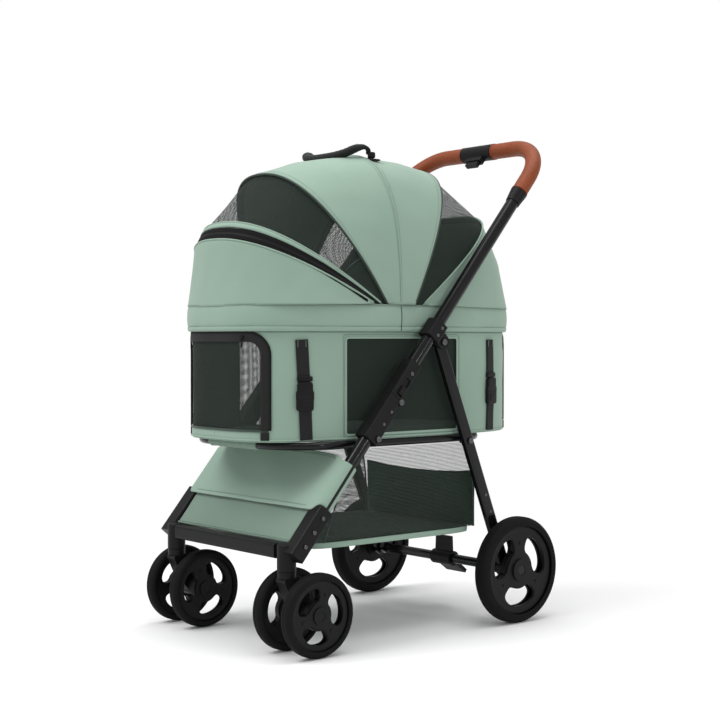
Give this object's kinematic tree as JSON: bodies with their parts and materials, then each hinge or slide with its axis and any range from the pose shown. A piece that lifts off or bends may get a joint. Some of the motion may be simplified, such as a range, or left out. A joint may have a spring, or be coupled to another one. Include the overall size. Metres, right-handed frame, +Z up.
{
  "type": "pet stroller",
  "caption": "Folding pet stroller with a lift-off domed fabric carrier, mesh doors, under-basket, leather-grip push handle and twin front castors.",
  "frame": {"origin": "bottom centre of the whole object, on the ground", "axes": "+Z up, front of the stroller towards -Y, +X towards the pusher's left when they face the front"},
  "size_m": [0.5038, 0.744, 1.0244],
  "materials": {
    "fabric_green": "woven",
    "fabric_dark": "woven",
    "mesh_black": "open mesh",
    "webbing_black": "webbing",
    "frame_black": "gloss",
    "plastic_black": "satin",
    "wheel_plastic": "satin",
    "tyre_rubber": "matt",
    "leather_tan": "stitched"
  },
  "bodies": {
    "dock": {"ring_tube": "frame_black", "ring_sleeve": "fabric_green", "basket_floor": "fabric_dark", "basket_side_left": "fabric_dark", "basket_side_right": "fabric_dark", "basket_rear": "fabric_dark"},
    "front_frame": {"front_leg_left": "frame_black", "front_leg_right": "frame_black", "leg_socket_left": "plastic_black", "leg_socket_right": "plastic_black", "front_crossbar": "plastic_black", "fold_lower_left": "plastic_black", "fold_lower_right": "plastic_black", "basket_front": "fabric_green"},
    "push_frame": {"push_tube": "frame_black", "upper_bracket_left": "plastic_black", "upper_bracket_right": "plastic_black", "fold_upper_left": "plastic_black", "fold_upper_right": "plastic_black", "grip_left": "leather_tan", "grip_right": "leather_tan", "collar_left": "plastic_black", "collar_right": "plastic_black", "handle_sleeve": "plastic_black"},
    "rear_frame": {"rear_leg_left": "frame_black", "rear_leg_right": "frame_black", "rear_axle": "frame_black"},
    "carrier": {"carrier_tub": "fabric_green", "carrier_band": "fabric_green", "canopy_front": "fabric_green", "canopy_arch_front": "fabric_green", "canopy_arch_rear": "fabric_green", "canopy_rear": "fabric_green", "carry_anchors": "plastic_black", "strap_front_left": "webbing_black", "strap_front_right": "webbing_black", "strap_rear_left": "webbing_black", "strap_rear_right": "webbing_black"},
    "front_door": {"door_front": "mesh_black"},
    "rear_door": {"door_rear": "mesh_black"},
    "carry_grip": {"carry_handle": "webbing_black"},
    "pedal": {"brake_pedal": "plastic_black"},
    "trigger": {"fold_trigger": "plastic_black"},
    "castor_left": {"castor_fork_left": "plastic_black"},
    "wheel_front_left_outer": {"tyre_front_left_outer": "tyre_rubber", "hub_front_left_outer": "wheel_plastic"},
    "wheel_front_left_inner": {"tyre_front_left_inner": "tyre_rubber", "hub_front_left_inner": "wheel_plastic"},
    "wheel_rear_left": {"tyre_rear_left": "tyre_rubber", "hub_rear_left": "wheel_plastic"},
    "latch_left": {"fold_latch_left": "plastic_black"},
    "castor_right": {"castor_fork_right": "plastic_black"},
    "wheel_front_right_outer": {"tyre_front_right_outer": "tyre_rubber", "hub_front_right_outer": "wheel_plastic"},
    "wheel_front_right_inner": {"tyre_front_right_inner": "tyre_rubber", "hub_front_right_inner": "wheel_plastic"},
    "wheel_rear_right": {"tyre_rear_right": "tyre_rubber", "hub_rear_right": "wheel_plastic"},
    "latch_right": {"fold_latch_right": "plastic_black"}
  },
  "joints": [
    {"name": "frame_fold", "type": "hinge", "parent": "dock", "child": "front_frame", "pos_m": [0, -0.1412, 0.397], "axis": [1, 0, 0], "range_deg": [0, 73], "deforming": ["basket_floor", "basket_side_left", "basket_side_right", "basket_rear"]},
    {"name": "push_fold", "type": "hinge", "parent": "front_frame", "child": "push_frame", "pos_m": [0, -0.0812, 0.466], "axis": [1, 0, 0], "range_deg": [-101, 0]},
    {"name": "rear_leg_fold", "type": "hinge", "parent": "push_frame", "child": "rear_frame", "pos_m": [0, 0.0408, 0.583], "axis": [1, 0, 0], "range_deg": [0, 47]},
    {"name": "castor_swivel_left", "type": "hinge", "parent": "front_frame", "child": "castor_left", "pos_m": [0.1884, -0.3312, 0.155], "axis": [0, 0, 1], "continuous": true},
    {"name": "spin_front_left_outer", "type": "hinge", "parent": "castor_left", "child": "wheel_front_left_outer", "pos_m": [0.2325, -0.293, 0.079], "axis": [1, 0, 0], "continuous": true},
    {"name": "spin_front_left_inner", "type": "hinge", "parent": "castor_left", "child": "wheel_front_left_inner", "pos_m": [0.1443, -0.293, 0.079], "axis": [1, 0, 0], "continuous": true},
    {"name": "spin_rear_left", "type": "hinge", "parent": "rear_frame", "child": "wheel_rear_left", "pos_m": [0.2342, 0.2306, 0.11], "axis": [1, 0, 0], "continuous": true},
    {"name": "fold_latch_left", "type": "slide", "parent": "push_frame", "child": "latch_left", "axis": [0, 0.6428, 0.766], "range_m": [0, 0.016], "stiffness_N_per_m": 250, "springref_m": -0.002},
    {"name": "castor_swivel_right", "type": "hinge", "parent": "front_frame", "child": "castor_right", "pos_m": [-0.1884, -0.3312, 0.155], "axis": [0, 0, 1], "continuous": true},
    {"name": "spin_front_right_outer", "type": "hinge", "parent": "castor_right", "child": "wheel_front_right_outer", "pos_m": [-0.2325, -0.293, 0.079], "axis": [1, 0, 0], "continuous": true},
    {"name": "spin_front_right_inner", "type": "hinge", "parent": "castor_right", "child": "wheel_front_right_inner", "pos_m": [-0.1443, -0.293, 0.079], "axis": [1, 0, 0], "continuous": true},
    {"name": "spin_rear_right", "type": "hinge", "parent": "rear_frame", "child": "wheel_rear_right", "pos_m": [-0.2342, 0.2306, 0.11], "axis": [1, 0, 0], "continuous": true},
    {"name": "fold_latch_right", "type": "slide", "parent": "push_frame", "child": "latch_right", "axis": [0, 0.6428, 0.766], "range_m": [0, 0.016], "stiffness_N_per_m": 250, "springref_m": -0.002},
    {"name": "brake_pedal", "type": "hinge", "parent": "rear_frame", "child": "pedal", "pos_m": [0, 0.2306, 0.11], "axis": [1, 0, 0], "range_deg": [-20, 0]},
    {"name": "fold_trigger", "type": "slide", "parent": "push_frame", "child": "trigger", "axis": [0, 0.6428, 0.766], "range_m": [0, 0.006], "stiffness_N_per_m": 300, "springref_m": -0.001},
    {"name": "carrier_lift", "type": "slide", "parent": "dock", "child": "carrier", "axis": [0, -0.309, 0.9511], "range_m": [0, 0.6]},
    {"name": "front_door", "type": "hinge", "parent": "carrier", "child": "front_door", "pos_m": [0, -0.3652, 0.415], "axis": [1, 0, 0], "range_deg": [0, 100]},
    {"name": "rear_door", "type": "hinge", "parent": "carrier", "child": "rear_door", "pos_m": [0, 0.3328, 0.415], "axis": [1, 0, 0], "range_deg": [-100, 0]},
    {"name": "carry_handle", "type": "hinge", "parent": "carrier", "child": "carry_grip", "pos_m": [0, -0.0452, 0.965], "axis": [1, 0, 0], "range_deg": [-70, 0]}
  ],
  "couplings": [
    {"joint": "push_fold", "follows": "frame_fold", "ratio": -1.337},
    {"joint": "rear_leg_fold", "follows": "frame_fold", "ratio": 0.617}
  ]
}
